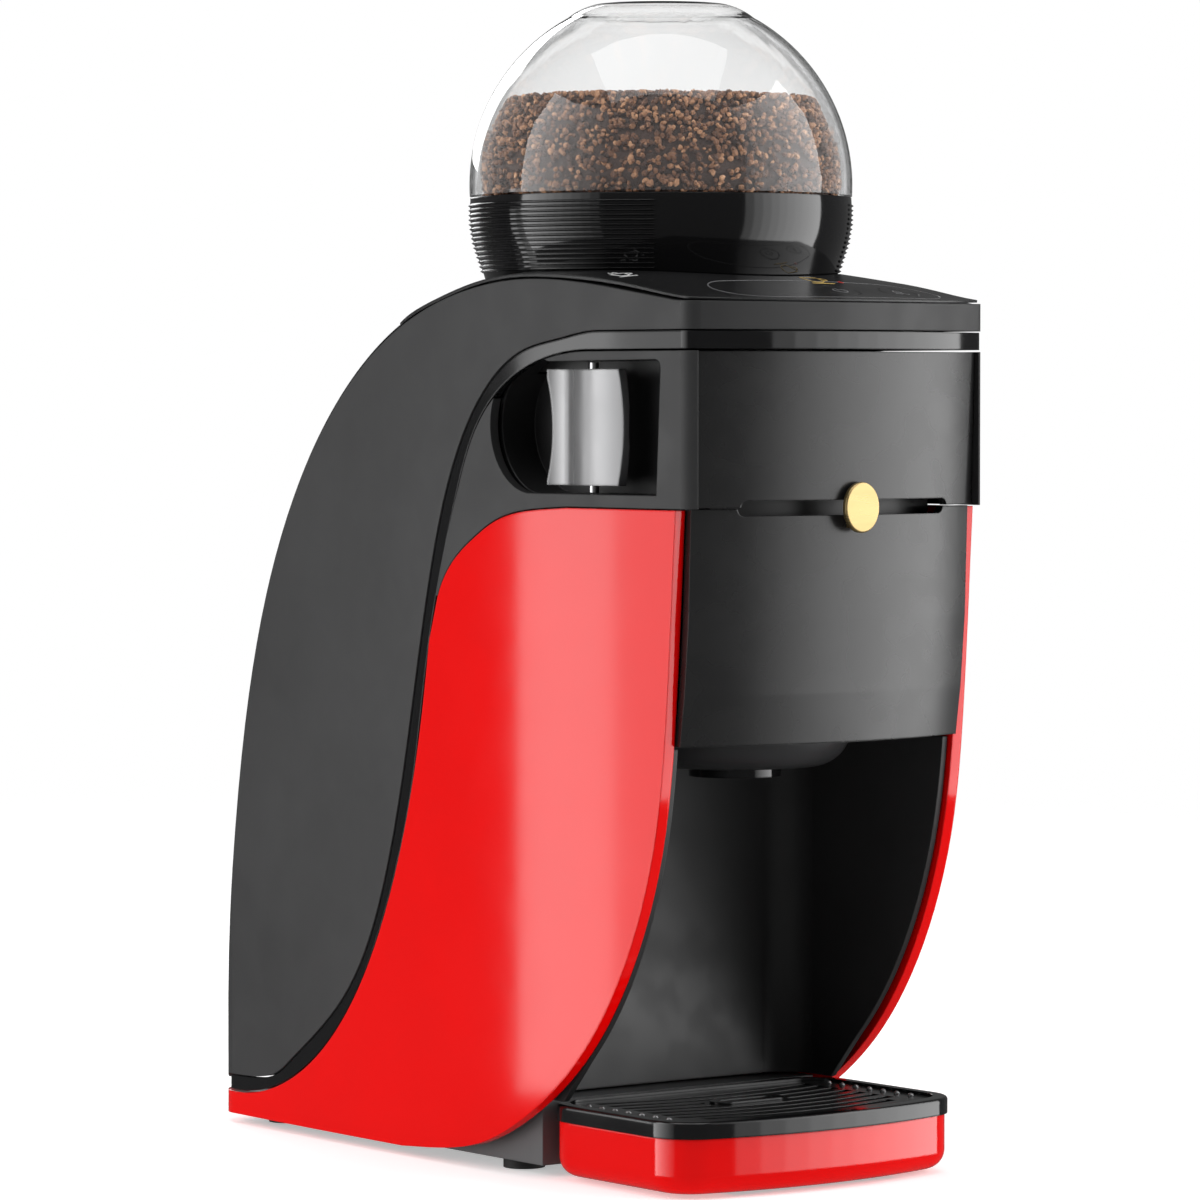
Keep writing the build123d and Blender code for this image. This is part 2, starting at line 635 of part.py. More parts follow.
FILL_LOW = 257.0
FILL_TOP = 331.0
with BuildPart() as granules:
    with BuildSketch(Plane.XZ):
        with BuildLine():
            Polyline((0, FILL_LOW), (NECK_R - 2.6, FILL_LOW), (NECK_R - 2.6, 267), (49.0, 274))
            Spline((49.0, 274), (51.6, 281), (53.3, 290), (54.1, 297), (55.8, 303))
            ThreePointArc((55.8, 303), (54.4, 316), (49.0, 328.6))
            ThreePointArc((49.0, 328.6), (48.2, 330.2), (46.5, FILL_TOP - 0.4))
            Polyline((46.5, FILL_TOP - 0.4), (0, FILL_TOP), (0, FILL_LOW))
        make_face()
    revolve(axis=Axis.Z)
granules.part = granules.part.moved(Location((0, HOPPER_Y, 0)))
granules.part.label = "granules"

with BuildPart() as dosing_wheel:
    with BuildSketch(Plane.XY.offset(SEAT_LOW + 6.4)):
        with Locations((0, HOPPER_Y)):
            Circle(NECK_R - 3)
            with PolarLocations(DOSE_R, 8, start_angle=22.5):
                Circle(6, mode=Mode.SUBTRACT)
    extrude(amount=3.6)
    with BuildSketch(Plane.XY.offset(SEAT_LOW + 4.2)):
        with Locations((0, HOPPER_Y)):
            Circle(10)
    extrude(amount=2.2)
    with BuildSketch(Plane.XY.offset(SEAT_LOW + 4.2)):
        with Locations((0, HOPPER_Y)):
            RegularPolygon(6.3, 6)
    extrude(amount=4.2, mode=Mode.SUBTRACT)
dosing_wheel.part.label = "dosing_wheel"

with BuildPart() as drive_shaft:
    with BuildSketch(Plane.XY.offset(238)):
        with Locations((0, HOPPER_Y)):
            Circle(3.0)
    extrude(amount=9)
    with BuildSketch(Plane.XY.offset(247)):
        with Locations((0, HOPPER_Y)):
            RegularPolygon(5.6, 6)
    extrude(amount=6.6)
drive_shaft.part.label = "drive_shaft"

# ---- water tank ---------------------------------------------------------------------
def tank_block(inset):
    """The tank's outer form, or its inside when inset by the wall."""
    rear = moved(SPINE_EDGE[:7], 0.8 - inset, 0)
    with BuildPart() as block:
        with BuildSketch(Plane.YZ.offset(-TANK_HALF + inset)):
            with BuildLine():
                Spline(*rear)
                Polyline(rear[-1], (-60, rear[-1][1]), (-60, 0), (rear[0][0], 0), rear[0])
            make_face()
        extrude(amount=2 * (TANK_HALF - inset))
        with BuildSketch(Plane.XY.offset(TANK_LOW + inset)):
            with Locations((0, (TANK_FRONT + inset + 140) / 2)):
                Rectangle(2 * (TANK_HALF - inset), 140 - TANK_FRONT - inset)
        extrude(amount=TANK_TOP - TANK_LOW - 2 * inset, mode=Mode.INTERSECT)
    return block.part


HATCH_PIN = (105.4, HATCH_LOW - 1.4)
HATCH_PIN_R = 1.2
VALVE_Z = 34.0
HATCH_Y = 98.0             # the hatch opening is cut behind this plane
with BuildPart() as hatch_tool:
    with BuildSketch(Plane.XZ.offset(-HATCH_Y + 22)):
        with Locations((0, (HATCH_LOW + HATCH_TOP) / 2)):
            RectangleRounded(2 * HATCH_HALF, HATCH_TOP - HATCH_LOW, 4)
    extrude(amount=-50)

with BuildPart() as hinge_notch:
    with BuildSketch(Plane.XZ.offset(-101)):
        with Locations((0, HATCH_LOW - 2.4)):
            Rectangle(25, 7)
    extrude(amount=-20)
    with BuildSketch(Plane.YZ.offset(-18.2)):
        with Locations(HATCH_PIN):
            Circle(HATCH_PIN_R)
    extrude(amount=36.4)

with BuildPart() as water_tank:
    add(tank_block(0))
    add(crown_piece(60, 140, TANK_LOW, TANK_TOP, TANK_HALF))
    add(tank_block(TANK_WALL), mode=Mode.SUBTRACT)
    add(hatch_tool.part, mode=Mode.SUBTRACT)
    add(hinge_notch.part, mode=Mode.SUBTRACT)
    with BuildSketch(Plane.XZ.offset(-TANK_FRONT + 2)):
        with Locations((0, VALVE_Z)):
            Circle(3.4)
    extrude(amount=-8, mode=Mode.SUBTRACT)
water_tank.part.label = "water_tank"

with BuildPart() as knuckle:
    with BuildSketch(Plane.YZ.offset(-12)):
        with Locations(HATCH_PIN):
            Circle(2.2)
        with BuildLine():
            y, z = HATCH_PIN
            Polyline((y - 2.2, z), (y + 1.8, z), (y - 1.6, z + 6.0), (y - 4.4, z + 6.0), (y - 2.2, z))
        make_face()
    extrude(amount=24)

with BuildPart() as tank_hatch:
    add(crown_piece(60, 140, HATCH_LOW + SEAM, HATCH_TOP - SEAM, HATCH_HALF - SEAM))
    with BuildSketch(Plane.XZ.offset(-HATCH_Y + 22)):
        with Locations((0, (HATCH_LOW + HATCH_TOP) / 2)):
            RectangleRounded(2 * (HATCH_HALF - SEAM), HATCH_TOP - HATCH_LOW - 2 * SEAM, 4)
    extrude(amount=-50, mode=Mode.INTERSECT)
    add(knuckle.part)
    with BuildSketch(Plane.YZ.offset(-20)):
        with Locations(HATCH_PIN):
            Circle(HATCH_PIN_R + RUN)
    extrude(amount=40, mode=Mode.SUBTRACT)
tank_hatch.part.label = "tank_hatch"

with BuildPart() as hatch_pin:
    with BuildSketch(Plane.YZ.offset(-18)):
        with Locations(HATCH_PIN):
            Circle(HATCH_PIN_R)
    extrude(amount=36)
hatch_pin.part.label = "hatch_pin"

with BuildPart() as tank_valve:
    with BuildSketch(Plane.XZ.offset(-TANK_FRONT + 0.2)):
        with Locations((0, VALVE_Z)):
            Circle(2.6)
    extrude(amount=-10)
    with BuildSketch(Plane.XZ.offset(-TANK_FRONT - TANK_WALL - 0.3)):
        with Locations((0, VALVE_Z)):
            Circle(6.4)
    extrude(amount=-2)
tank_valve.part.label = "tank_valve"

with BuildPart() as tank_dock:
    with BuildSketch(Plane.XZ.offset(-TANK_FRONT + 6.6)):
        with Locations((0, VALVE_Z)):
            Circle(9)
            Circle(4, mode=Mode.SUBTRACT)
    extrude(amount=-6)
tank_dock.part.label = "tank_dock"

# ---- drip tray ----------------------------------------------------------------------
def tray_plan(inset):
    with BuildSketch() as plan:
        with BuildLine():
            half = TRAY_HALF - inset
            front = TRAY_FRONT + inset
            sag = 9.0
            ThreePointArc((-half, front + sag), (0, front), (half, front + sag))
            Polyline((half, front + sag), (half, TRAY_REAR - inset), (-half, TRAY_REAR - inset),
                     (-half, front + sag))
        make_face()
        fillet(plan.vertices().group_by(Axis.Y)[0], TRAY_ROUND - inset)
        fillet(plan.vertices().group_by(Axis.Y)[-1], TRAY_ROUND - 1 - inset)
    return plan.sketch


with BuildPart() as drip_tray:
    with BuildSketch(Plane.XY.offset(TRAY_LOW)):
        add(tray_plan(0.8))
    extrude(amount=TRAY_SPLIT - TRAY_LOW - 0.1)
    fillet(drip_tray.faces().sort_by(Axis.Z)[0].edges(), 6.0)
    with BuildSketch(Plane.XY.offset(10.4)):
        add(tray_plan(3.4))
    extrude(amount=20, mode=Mode.SUBTRACT)
    with BuildSketch(Plane.XY.offset(-1)):
        with Locations((0, -70)):
            Rectangle(64, 80)
    extrude(amount=9, mode=Mode.SUBTRACT)
drip_tray.part.label = "drip_tray"

with BuildPart() as tray_rim:
    with BuildSketch(Plane.XY.offset(TRAY_SPLIT)):
        add(tray_plan(0))
        add(tray_plan(4.0), mode=Mode.SUBTRACT)
    extrude(amount=TRAY_TOP - TRAY_SPLIT)
    fillet(tray_rim.faces().sort_by(Axis.Z)[-1].outer_wire().edges(), 1.0)
    with BuildSketch(Plane.XY.offset(13)):
        add(tray_plan(3.6))
        add(tray_plan(5.2), mode=Mode.SUBTRACT)
    extrude(amount=5.8)
tray_rim.part.label = "tray_rim"

SLAT_COUNT = 8
SLAT_PITCH = 6.6
SLAT_FIRST = -107.0
GRILLE_LOW = 19.6
GRILLE_TOP = 22.4
with BuildPart() as drip_grille:
    with BuildSketch(Plane.XY.offset(GRILLE_LOW)):
        add(tray_plan(4.3))
        for i in range(SLAT_COUNT):
            y = SLAT_FIRST + i * SLAT_PITCH
            half = 42 if i > 0 else 37
            with BuildLine():
                ThreePointArc((-half, y + 4), (0, y - 1), (half, y + 4))
                Line((half, y + 4), (half, y + 7.6))
                ThreePointArc((half, y + 7.6), (0, y + 2.6), (-half, y + 7.6))
                Line((-half, y + 7.6), (-half, y + 4))
            make_face(mode=Mode.SUBTRACT)
        with Locations((0, -76)):
            SlotOverall(30, 12)
    extrude(amount=GRILLE_TOP - GRILLE_LOW)
drip_grille.part.label = "drip_grille"

with BuildPart() as grille_grip:
    with BuildSketch(Plane.XY.offset(GRILLE_TOP)):
        with Locations((0, -76)):
            SlotOverall(27, 9)
            SlotOverall(21, 4, mode=Mode.SUBTRACT)
    extrude(amount=0.7)
grille_grip.part.label = "grille_grip"

BUMP_R = 1.0
with BuildPart() as grille_bumps:
    for side in (-1, 1):
        for i in range(SLAT_COUNT - 1):
            with Locations((side * 47.5, SLAT_FIRST + i * SLAT_PITCH + 9.2, GRILLE_TOP)):
                Sphere(BUMP_R)
    with BuildSketch(Plane.XY.offset(GRILLE_TOP)):
        Rectangle(140, 300)
    extrude(amount=4, mode=Mode.INTERSECT)
grille_bumps.part.label = "grille_bumps"

# ---- base and feet ------------------------------------------------------------------
BASE_HALF = 53.6
with BuildPart() as base:
    with BuildSketch(Plane.XY.offset(3.2)):
        with Locations((0, 43.0)):
            RectangleRounded(2 * BASE_HALF, 165, 8)
    extrude(amount=6)
    with BuildSketch(Plane.XY.offset(3.2)):
        with Locations((0, -26)):
            Rectangle(2 * BASE_HALF, 34)
    extrude(amount=20)
    with BuildSketch(Plane.XY.offset(2.2)):
        with Locations((0, -70)):
            Rectangle(58, 74)
    extrude(amount=4.6)
    with BuildSketch(Plane.XY.offset(6)):
        with Locations((0, -24)):
            Rectangle(90, 24)
    extrude(amount=14.2, mode=Mode.SUBTRACT)
base.part.label = "base"

FOOT_PLACES = [(-45, -22), (45, -22), (-42, 112), (42, 112)]
with BuildPart() as rubber_feet:
    for (x, y) in FOOT_PLACES:
        with BuildSketch(Plane.XY):
            with Locations((x, y)):
                Circle(6.5)
        extrude(amount=3.2)
    with BuildSketch(Plane.XY):
        with Locations((-20, -98), (20, -98)):
            Circle(4.5)
    extrude(amount=2.2)
rubber_feet.part.label = "rubber_feet"

# ---- inside frame and works ---------------------------------------------------------
FRAME_X = 38.0
with BuildPart() as chassis:
    for x in (-FRAME_X - 2, FRAME_X):
        with BuildSketch(Plane.YZ.offset(x)):
            with BuildLine():
                Polyline((-6, 10), (50, 10), (50, 200), (20, 236), (-30, 240), (-100, 240), (-100, 160),
                         (-28, 160), (-28, 25), (-6, 25), (-6, 10))
            make_face()
            with Locations((8, 100)):
                RectangleRounded(50, 130, 10, mode=Mode.SUBTRACT)
        extrude(amount=2)
    with BuildSketch(Plane.YZ.offset(-FRAME_X)):
        with Locations((-92, 234), (40, 180), (40, 16), (-22, 152)):
            Circle(2.5)
    extrude(amount=2 * FRAME_X)
chassis.part.label = "chassis"

with BuildPart() as rear_wall:
    with BuildSketch(Plane.XY.offset(10)):
        with Locations((0, 53.4)):
            Rectangle(2 * 52, 2)
    extrude(amount=192)
    with BuildSketch(Plane.XZ.offset(-50)):
        with Locations((0, VALVE_Z)):
            Circle(9.4)
    extrude(amount=-8, mode=Mode.SUBTRACT)
rear_wall.part.label = "rear_wall"

with BuildPart() as pump:
    with BuildSketch(Plane.XZ.offset(-2)):
        with Locations((-12, 34)):
            Circle(15)
    extrude(amount=-34)
    with BuildSketch(Plane.XZ.offset(22)):
        with Locations((-12, 34)):
            Circle(6)
    extrude(amount=-24)
pump.part.label = "pump"

with BuildPart() as pump_mounts:
    with BuildSketch(Plane.XY.offset(9.6)):
        with Locations((-24, 8), (-24, 30), (0, 8), (0, 30)):
            Circle(4)
    extrude(amount=9)
pump_mounts.part = pump_mounts.part - pump.part
pump_mounts.part.label = "pump_mounts"

with BuildPart() as flow_meter:
    with BuildSketch(Plane.XZ.offset(-30)):
        with Locations((20, 34)):
            Circle(11)
    extrude(amount=-12)
flow_meter.part.label = "flow_meter"

with BuildPart() as heater:
    with BuildSketch(Plane.XY.offset(82)):
        with Locations((0, 16)):
            RectangleRounded(52, 34, 8)
    extrude(amount=62)
heater.part.label = "heater"

HOSE_R = 2.6
with BuildPart() as hoses:
    for route, turn in (([(20, 29.8, 34), (20, 14, 34), (20, 14, 81.8)], 6),
                        ([(14, 16, 144.2), (14, 16, 168), (14, -46, 168), (14, -58, 158)], 7)):
        with BuildLine() as hose_path:
            FilletPolyline(*route, radius=turn)
        with BuildSketch(Plane(origin=hose_path.line @ 0, z_dir=hose_path.line % 0)):
            Circle(HOSE_R)
        sweep(path=hose_path.line)
hoses.part.label = "hoses"

with BuildPart() as power_board:
    with BuildSketch(Plane.XY.offset(212)):
        with Locations((0, 22)):
            Rectangle(60, 30)
    extrude(amount=1.6)
    with BuildSketch(Plane.XY.offset(213.6)):
        with GridLocations(16, 12, 3, 2):
            Rectangle(1, 1)
    extrude(amount=1)
power_board.part.label = "power_board"

with BuildPart() as dosing_motor:
    with BuildSketch(Plane.XY.offset(216)):
        with Locations((0, HOPPER_Y)):
            Circle(14)
    extrude(amount=21.6)
dosing_motor.part.label = "dosing_motor"

with BuildPart() as control_board:
    with BuildSketch(Plane.XY.offset(255)):
        with Locations((0, -106)):
            Rectangle(80, 18)
    extrude(amount=1.6)
control_board.part.label = "control_board"

# ---- keys ---------------------------------------------------------------------------
KEY_R = 6.0
KEY_TRAVEL = 0.8

def key_piece(place):
    """A key cut from the deck's own slab, on a short stem."""
    with BuildPart() as key:
        add(deck_form.part)
        with BuildSketch(Plane.XY.offset(240)):
            with Locations(place):
                Circle(KEY_R)
        extrude(amount=60, mode=Mode.INTERSECT)
        with BuildSketch(Plane.XY.offset(258.4)):
            with Locations(place):
                Circle(2.0)
        extrude(amount=10.2)
    return key.part


key_parts = {}
for key_name, place in KEY_PLACES.items():
    key_parts[key_name] = key_piece(place)
    key_parts[key_name].label = key_name

with BuildPart() as cord_gland:
    with BuildSketch(Plane.XZ.offset(-125.8)):
        with Locations(GLAND):
            Circle(GLAND_R)
            Circle(1.9, mode=Mode.SUBTRACT)
    extrude(amount=-5)
cord_gland.part.label = "cord_gland"

SCREW_PLACES = [(-30, 4), (30, 4), (-44, 100), (44, 100), (-44, 60), (44, 60)]
with BuildPart() as screws:
    for (x, y) in SCREW_PLACES:
        with BuildSketch(Plane.XY.offset(0.9)):
            with Locations((x, y)):
                Circle(2.6)
        extrude(amount=2.2)
screws.part.label = "screws"

# ---- write the pieces ---------------------------------------------------------------
PIECES = [
    casing, deck, rear_cover, gloss_strip, left_frame, right_frame, lever_pocket, lever_pin,
    thumb_lever, left_red_shell, right_red_shell, upper_front_cover, lower_front_cover,
    slot_backing, badge, bay_liner, bay_ceiling, mixing_bowl, outlet_nozzle, whisk, whisk_motor,
    powder_chute, hopper_seat, hopper_collar, grip_ribs, clear_dome, granules, dosing_wheel,
    drive_shaft, water_tank, tank_hatch, hatch_pin, tank_valve, tank_dock, drip_tray, tray_rim,
    drip_grille, grille_grip, grille_bumps, base, rubber_feet, chassis, rear_wall, pump,
    pump_mounts, flow_meter, heater, hoses, power_board, dosing_motor, control_board, cord_gland,
    screws,
]
os.makedirs("parts", exist_ok=True)
for piece in PIECES:
    export_step(piece.part, f"parts/{piece.part.label}.step")
for key_name, key in key_parts.items():
    export_step(key, f"parts/{key_name}.step")
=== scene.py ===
import json
import math
import random

import bmesh
import bpy
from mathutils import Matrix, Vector, noise
from mathutils.bvhtree import BVHTree


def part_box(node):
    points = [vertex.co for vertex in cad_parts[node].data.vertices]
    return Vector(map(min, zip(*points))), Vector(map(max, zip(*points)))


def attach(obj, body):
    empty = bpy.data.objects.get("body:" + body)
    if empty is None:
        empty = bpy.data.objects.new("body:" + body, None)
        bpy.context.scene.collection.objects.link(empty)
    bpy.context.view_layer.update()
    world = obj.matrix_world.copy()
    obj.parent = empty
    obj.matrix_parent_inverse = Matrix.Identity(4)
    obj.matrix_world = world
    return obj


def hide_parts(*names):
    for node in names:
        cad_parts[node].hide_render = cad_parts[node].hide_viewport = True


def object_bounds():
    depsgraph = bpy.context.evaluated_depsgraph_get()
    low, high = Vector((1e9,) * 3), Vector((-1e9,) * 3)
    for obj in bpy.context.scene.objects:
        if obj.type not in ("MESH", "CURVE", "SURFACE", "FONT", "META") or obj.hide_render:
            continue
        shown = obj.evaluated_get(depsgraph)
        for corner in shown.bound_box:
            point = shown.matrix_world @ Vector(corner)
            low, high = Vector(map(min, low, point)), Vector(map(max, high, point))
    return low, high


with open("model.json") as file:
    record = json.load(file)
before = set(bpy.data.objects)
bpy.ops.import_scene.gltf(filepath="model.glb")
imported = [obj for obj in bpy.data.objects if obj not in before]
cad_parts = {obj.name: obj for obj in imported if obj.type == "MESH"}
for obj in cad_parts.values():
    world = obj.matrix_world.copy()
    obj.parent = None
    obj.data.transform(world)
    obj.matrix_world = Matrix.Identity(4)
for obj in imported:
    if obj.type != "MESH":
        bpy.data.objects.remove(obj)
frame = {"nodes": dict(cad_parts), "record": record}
cad_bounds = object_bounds()
nodes = frame["nodes"]
MM = 0.001


# ---------------------------------------------------------------- materials
def shader_parts(name):
    """A new node material: its tree, its Principled shader and object coordinates."""
    material = bpy.data.materials.new(name)
    material.use_nodes = True
    tree = material.node_tree
    shader = tree.nodes["Principled BSDF"]
    coords = tree.nodes.new("ShaderNodeTexCoord")
    return material, tree, shader, coords.outputs["Object"]


def noise_field(tree, coords, scale, detail=3.0, stretch=(1, 1, 1)):
    """A cloudy pattern from 0 to 1, squeezed by stretch along each axis."""
    mapping = tree.nodes.new("ShaderNodeMapping")
    mapping.inputs["Scale"].default_value = stretch
    tree.links.new(coords, mapping.inputs["Vector"])
    field = tree.nodes.new("ShaderNodeTexNoise")
    field.inputs["Scale"].default_value = scale
    field.inputs["Detail"].default_value = detail
    tree.links.new(mapping.outputs["Vector"], field.inputs["Vector"])
    return field.outputs["Fac"]


def colour_ramp(tree, factor, stops):
    """Smooth colours between stops, each a place from 0 to 1 and a colour."""
    ramp = tree.nodes.new("ShaderNodeValToRGB")
    ramp.color_ramp.interpolation = "EASE"
    elements = ramp.color_ramp.elements
    while len(elements) < len(stops):
        elements.new(0.5)
    for element, (place, colour) in zip(elements, stops):
        element.position = place
        element.color = (*colour, 1)
    tree.links.new(factor, ramp.inputs["Fac"])
    return ramp.outputs["Color"]


def value_range(tree, factor, low, high):
    """The middle of a noise field spread smoothly from low to high."""
    spread = tree.nodes.new("ShaderNodeMapRange")
    spread.interpolation_type = "SMOOTHERSTEP"
    spread.inputs["From Min"].default_value = 0.3
    spread.inputs["From Max"].default_value = 0.7
    spread.inputs["To Min"].default_value = low
    spread.inputs["To Max"].default_value = high
    tree.links.new(factor, spread.inputs["Value"])
    return spread.outputs["Result"]


def relief(tree, shader, height, depth, bevel):
    """Bump of that depth over softly rounded edges."""
    bump = tree.nodes.new("ShaderNodeBump")
    bump.inputs["Strength"].default_value = 1.0
    bump.inputs["Distance"].default_value = depth
    tree.links.new(height, bump.inputs["Height"])
    if bevel:
        rounding = tree.nodes.new("ShaderNodeBevel")
        rounding.samples = 4
        rounding.inputs["Radius"].default_value = bevel
        tree.links.new(rounding.outputs["Normal"], bump.inputs["Normal"])
    tree.links.new(bump.outputs["Normal"], shader.inputs["Normal"])


def plastic(name, colour, rough, spread=0.03, shade=0.07, grain=900, depth=4e-6, bevel=0.0006,
            level=0.5, metallic=0.0, stretch=(1, 1, 1)):
    """Moulded or painted surface: faint flow marks in the colour, uneven gloss and a fine texture."""
    material, tree, shader, coords = shader_parts(name)
    flow = noise_field(tree, coords, 22, 4, stretch)
    low = tuple(c * (1 - shade) for c in colour)
    high = tuple(min(1.0, c * (1 + shade)) for c in colour)
    tint = colour_ramp(tree, flow, [(0.3, low), (0.7, high)])
    tree.links.new(tint, shader.inputs["Base Color"])
    patches = noise_field(tree, coords, 65, 2, stretch)
    tree.links.new(value_range(tree, patches, rough - spread, rough + spread), shader.inputs["Roughness"])
    relief(tree, shader, noise_field(tree, coords, grain, 2, stretch), depth, bevel)
    shader.inputs["Specular IOR Level"].default_value = level
    shader.inputs["Metallic"].default_value = metallic
    return material


PAINTED_RIM_SHADE_END = (0.3535, 0.3565)     # heights in metres between which the painted dark rim shade fades out


def see_through(name, colour, rough, ior, ripple=0.0, painted_rim_shade=None):
    """Clear moulded plastic that lamps shine through; a given rim colour is painted as shade on its
    grazing rim, below a set height.
    """
    material, tree, shader, coords = shader_parts(name)
    field = noise_field(tree, coords, 30, 2)
    tint = colour_ramp(tree, field, [(0.3, tuple(c * 0.98 for c in colour)), (0.7, colour)])
    # painted shade: towards the grazing rim, and below a set height, the base colour is darkened to the
    # rim colour
    if painted_rim_shade:
        facing = tree.nodes.new("ShaderNodeLayerWeight")
        facing.inputs["Blend"].default_value = 0.5
        rim = colour_ramp(tree, facing.outputs["Facing"], [(0.0, colour), (0.69, colour), (0.79, painted_rim_shade)])
        blend = tree.nodes.new("ShaderNodeMix")
        blend.data_type = "RGBA"
        blend.blend_type = "MULTIPLY"
        height = tree.nodes.new("ShaderNodeSeparateXYZ")
        tree.links.new(coords, height.inputs[0])
        below_top = tree.nodes.new("ShaderNodeMapRange")
        below_top.inputs["From Min"].default_value = PAINTED_RIM_SHADE_END[0]
        below_top.inputs["From Max"].default_value = PAINTED_RIM_SHADE_END[1]
        below_top.inputs["To Min"].default_value = 1.0
        below_top.inputs["To Max"].default_value = 0.0
        tree.links.new(height.outputs["Z"], below_top.inputs["Value"])
        tree.links.new(below_top.outputs["Result"], blend.inputs["Factor"])
        tree.links.new(tint, blend.inputs[6])
        tree.links.new(rim, blend.inputs[7])
        tint = blend.outputs[2]
    tree.links.new(tint, shader.inputs["Base Color"])
    tree.links.new(value_range(tree, field, rough, rough + 0.015), shader.inputs["Roughness"])
    shader.inputs["Transmission Weight"].default_value = 1.0
    shader.inputs["IOR"].default_value = ior
    if ripple:
        relief(tree, shader, field, ripple, 0)
    clear = tree.nodes.new("ShaderNodeBsdfTransparent")
    clear.inputs["Color"].default_value = (*colour, 1)
    mix = tree.nodes.new("ShaderNodeMixShader")
    path = tree.nodes.new("ShaderNodeLightPath")
    tree.links.new(path.outputs["Is Shadow Ray"], mix.inputs[0])
    tree.links.new(shader.outputs[0], mix.inputs[1])
    tree.links.new(clear.outputs[0], mix.inputs[2])
    tree.links.new(mix.outputs[0], tree.nodes["Material Output"].inputs["Surface"])
    return material


def coffee_material(name, stops):
    """Roasted granules: every separate crumb has its own brown, with pits in it."""
    material, tree, shader, coords = shader_parts(name)
    crumb = tree.nodes.new("ShaderNodeNewGeometry").outputs["Random Per Island"]
    pores = noise_field(tree, coords, 1300, 3)
    shift = tree.nodes.new("ShaderNodeMath")
    shift.operation = "MULTIPLY_ADD"
    tree.links.new(pores, shift.inputs[0])
    shift.inputs[1].default_value = 0.7
    tree.links.new(crumb, shift.inputs[2])
    level = tree.nodes.new("ShaderNodeMath")
    level.operation = "MULTIPLY_ADD"
    tree.links.new(shift.outputs[0], level.inputs[0])
    level.inputs[1].default_value = 0.8
    level.inputs[2].default_value = -0.2
    tree.links.new(colour_ramp(tree, level.outputs[0], stops), shader.inputs["Base Color"])
    tree.links.new(value_range(tree, pores, 0.42, 0.62), shader.inputs["Roughness"])
    relief(tree, shader, pores, 1.5e-4, 0)
    shader.inputs["Specular IOR Level"].default_value = 0.4
    return material


